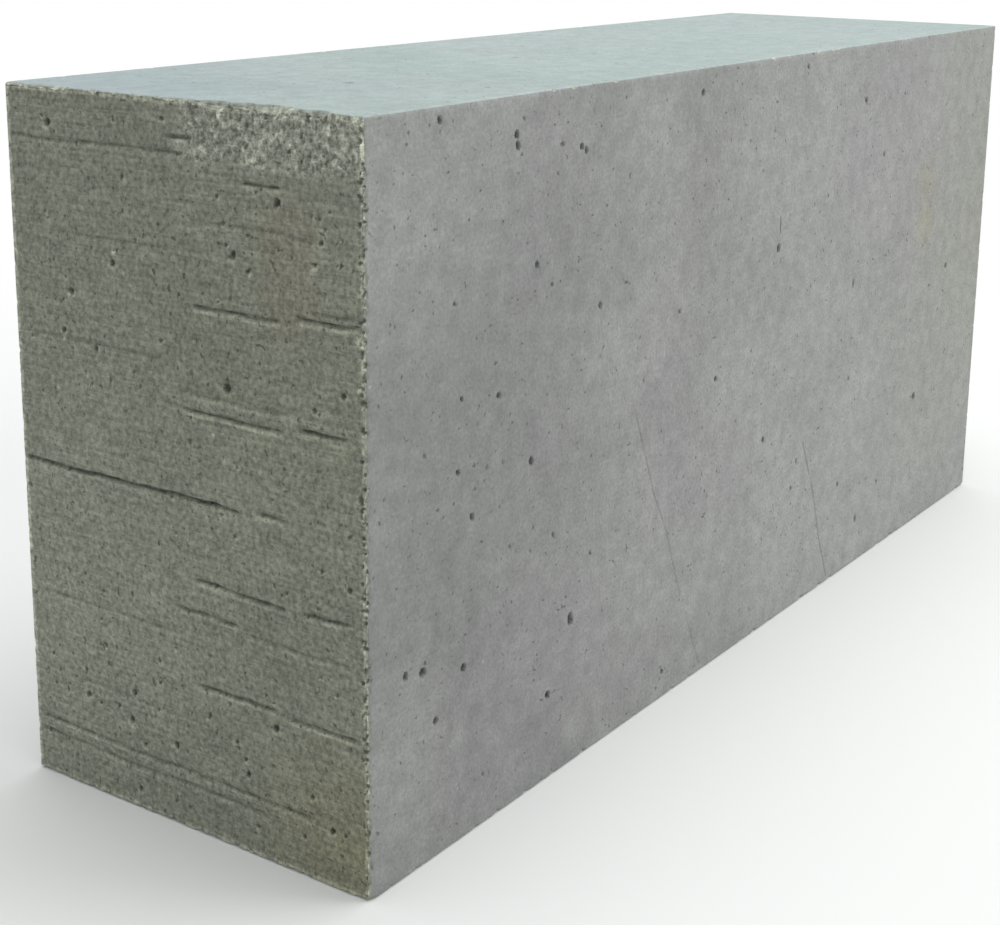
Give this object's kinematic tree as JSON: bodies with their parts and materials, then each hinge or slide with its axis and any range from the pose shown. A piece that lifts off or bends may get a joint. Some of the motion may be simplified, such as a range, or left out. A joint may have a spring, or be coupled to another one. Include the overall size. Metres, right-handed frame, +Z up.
{
  "type": "fly ash block",
  "caption": "Solid rectangular block of foamed fly ash concrete with flat bed and end faces and slightly worn arrises, standing on its long bed face.",
  "frame": {"origin": "centre of the bottom bed face, on the floor that the block stands on", "axes": "+X along the block's length, +Y through its thickness, +Z up; the drawn end is at -X, and a shallow spall takes 84 mm of its top arris, with its middle 44 mm from the -Y face"},
  "size_m": [0.6, 0.18, 0.29],
  "materials": {
    "fly_ash_concrete": "matt"
  },
  "bodies": {
    "root": {"fly_ash_block": "fly_ash_concrete"}
  },
  "joints": []
}
